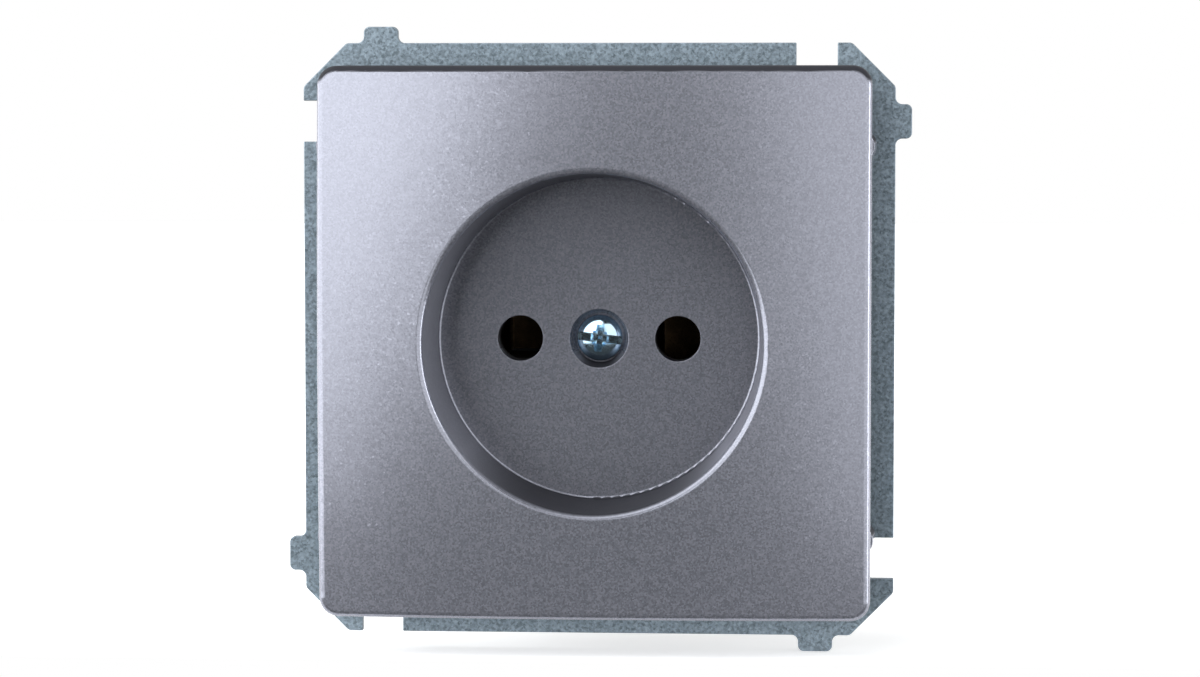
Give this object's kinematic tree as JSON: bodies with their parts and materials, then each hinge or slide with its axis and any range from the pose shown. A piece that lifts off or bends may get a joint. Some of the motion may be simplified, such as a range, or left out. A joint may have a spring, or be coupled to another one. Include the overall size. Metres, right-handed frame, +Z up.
{
  "type": "wall socket",
  "caption": "Flush wall socket insert: square cover with a round plug recess and pin holes, a stamped support frame, and a base with contacts, wire terminals and spreading claws.",
  "frame": {"origin": "on the socket's axis at the wall plane, the rear face of the support frame", "axes": "+X to the right, +Y into the wall, +Z up; the plug side faces -Y"},
  "size_m": [0.0748, 0.0355, 0.0748],
  "materials": {
    "cover_paint": "dark aluminium paint with a fine sparkle on moulded plastic",
    "zinc_steel": "bright zinc plating",
    "galvanised_sheet": "galvanised sheet with a fine spangle",
    "base_moulding": "black moulded insulator",
    "brass_strip": "plain rolled brass"
  },
  "bodies": {
    "socket": {"claw_screws": "zinc_steel", "contact_disc": "base_moulding", "contact_left": "brass_strip", "contact_right": "brass_strip", "cover_nut": "zinc_steel", "cover_plate": "cover_paint", "cover_screw": "zinc_steel", "disc_screws": "zinc_steel", "frame_screws": "zinc_steel", "socket_base": "base_moulding", "support_frame": "galvanised_sheet", "terminal_left": "brass_strip", "terminal_right": "brass_strip", "terminal_screws": "zinc_steel"},
    "left_claw": {"claw_left": "zinc_steel"},
    "right_claw": {"claw_right": "zinc_steel"}
  },
  "joints": [
    {"name": "left_claw_slide", "type": "slide", "parent": "socket", "child": "left_claw", "axis": [-0.2756, -0.9613, 0], "range_m": [0, 0.0065]},
    {"name": "right_claw_slide", "type": "slide", "parent": "socket", "child": "right_claw", "axis": [0.2756, -0.9613, 0], "range_m": [0, 0.0065]}
  ]
}
